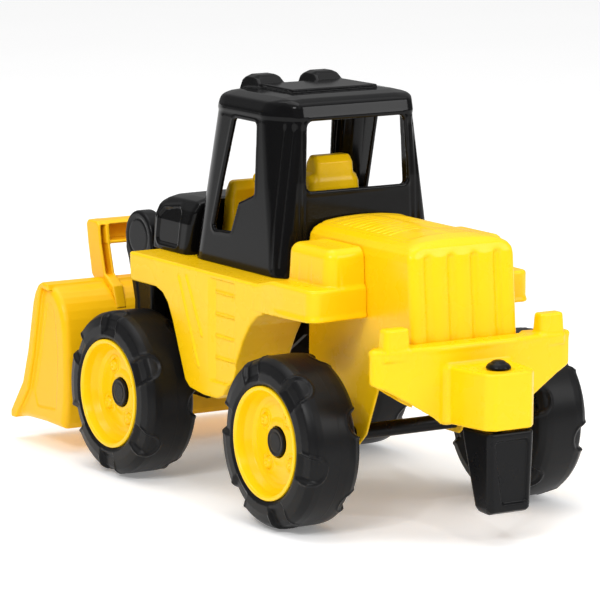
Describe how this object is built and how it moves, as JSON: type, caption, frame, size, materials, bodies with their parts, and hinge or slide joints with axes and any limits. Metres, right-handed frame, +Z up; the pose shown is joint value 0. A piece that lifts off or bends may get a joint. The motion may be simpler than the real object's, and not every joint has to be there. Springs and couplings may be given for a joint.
{
  "type": "toy wheel loader",
  "caption": "Moulded plastic toy wheel loader with free-rolling chunky wheels, a lifting boom, a tilting bucket with a carry hoop, an open cab and a rear tow hitch.",
  "frame": {"origin": "on the ground, under the centre of the overall box", "axes": "+X forward along the vehicle towards the bucket, +Y to the vehicle's left, +Z up"},
  "size_m": [0.643, 0.3, 0.379],
  "materials": {
    "yellow_gloss": "glossy yellow moulded plastic with soft mould texture",
    "bucket_yellow": "semi-gloss warm yellow moulded plastic",
    "hub_yellow": "glossy yellow moulded plastic",
    "black_gloss": "glossy black moulded plastic",
    "black_satin": "satin black moulded plastic",
    "tyre_black": "semi-gloss black blow-moulded plastic",
    "steel": "plain drawn steel"
  },
  "bodies": {
    "chassis": {"side_panel_left": "yellow_gloss", "side_panel_right": "yellow_gloss", "fender_left": "yellow_gloss", "fender_right": "yellow_gloss", "front_wall": "yellow_gloss", "engine_hood": "yellow_gloss", "rear_bumper": "yellow_gloss", "chassis_frame": "black_satin", "cab": "black_gloss", "front_bonnet": "black_gloss", "interior_floor": "yellow_gloss", "seat": "yellow_gloss", "dashboard": "yellow_gloss", "control_lever": "yellow_gloss", "front_axle_sleeve": "black_satin", "rear_axle_sleeve": "black_satin", "front_axle_rod": "steel", "rear_axle_rod": "steel", "cap_front_left": "black_satin", "cap_front_right": "black_satin", "cap_rear_left": "black_satin", "cap_rear_right": "black_satin", "arm_pivot_pin": "steel", "body_screws": "steel"},
    "boom": {"lift_arm_left": "black_satin", "lift_arm_right": "black_satin", "arm_cross_beam": "black_satin", "bucket_pivot_pin": "steel"},
    "bucket": {"bucket": "bucket_yellow", "bucket_hoop": "bucket_yellow"},
    "hitch": {"hitch_block": "black_satin", "hitch_pin": "black_satin"},
    "wheel_front_left": {"tyre_front_left": "tyre_black", "hub_front_left": "hub_yellow"},
    "wheel_front_right": {"tyre_front_right": "tyre_black", "hub_front_right": "hub_yellow"},
    "wheel_rear_left": {"tyre_rear_left": "tyre_black", "hub_rear_left": "hub_yellow"},
    "wheel_rear_right": {"tyre_rear_right": "tyre_black", "hub_rear_right": "hub_yellow"}
  },
  "joints": [
    {"name": "spin_front_left", "type": "hinge", "parent": "chassis", "child": "wheel_front_left", "pos_m": [0.1185, 0.1215, 0.078], "axis": [0, 1, 0], "continuous": true},
    {"name": "spin_front_right", "type": "hinge", "parent": "chassis", "child": "wheel_front_right", "pos_m": [0.1185, -0.1215, 0.078], "axis": [0, 1, 0], "continuous": true},
    {"name": "spin_rear_left", "type": "hinge", "parent": "chassis", "child": "wheel_rear_left", "pos_m": [-0.1545, 0.1215, 0.078], "axis": [0, 1, 0], "continuous": true},
    {"name": "spin_rear_right", "type": "hinge", "parent": "chassis", "child": "wheel_rear_right", "pos_m": [-0.1545, -0.1215, 0.078], "axis": [0, 1, 0], "continuous": true},
    {"name": "boom_lift", "type": "hinge", "parent": "chassis", "child": "boom", "pos_m": [0.1835, 0, 0.2115], "axis": [0, -1, 0], "range_deg": [0, 60]},
    {"name": "bucket_tilt", "type": "hinge", "parent": "boom", "child": "bucket", "pos_m": [0.2035, 0, 0.08], "axis": [0, -1, 0], "range_deg": [-10, 15]},
    {"name": "hitch_swivel", "type": "hinge", "parent": "chassis", "child": "hitch", "pos_m": [-0.2975, 0, 0.1], "axis": [0, 0, 1], "range_deg": [-45, 45]}
  ]
}
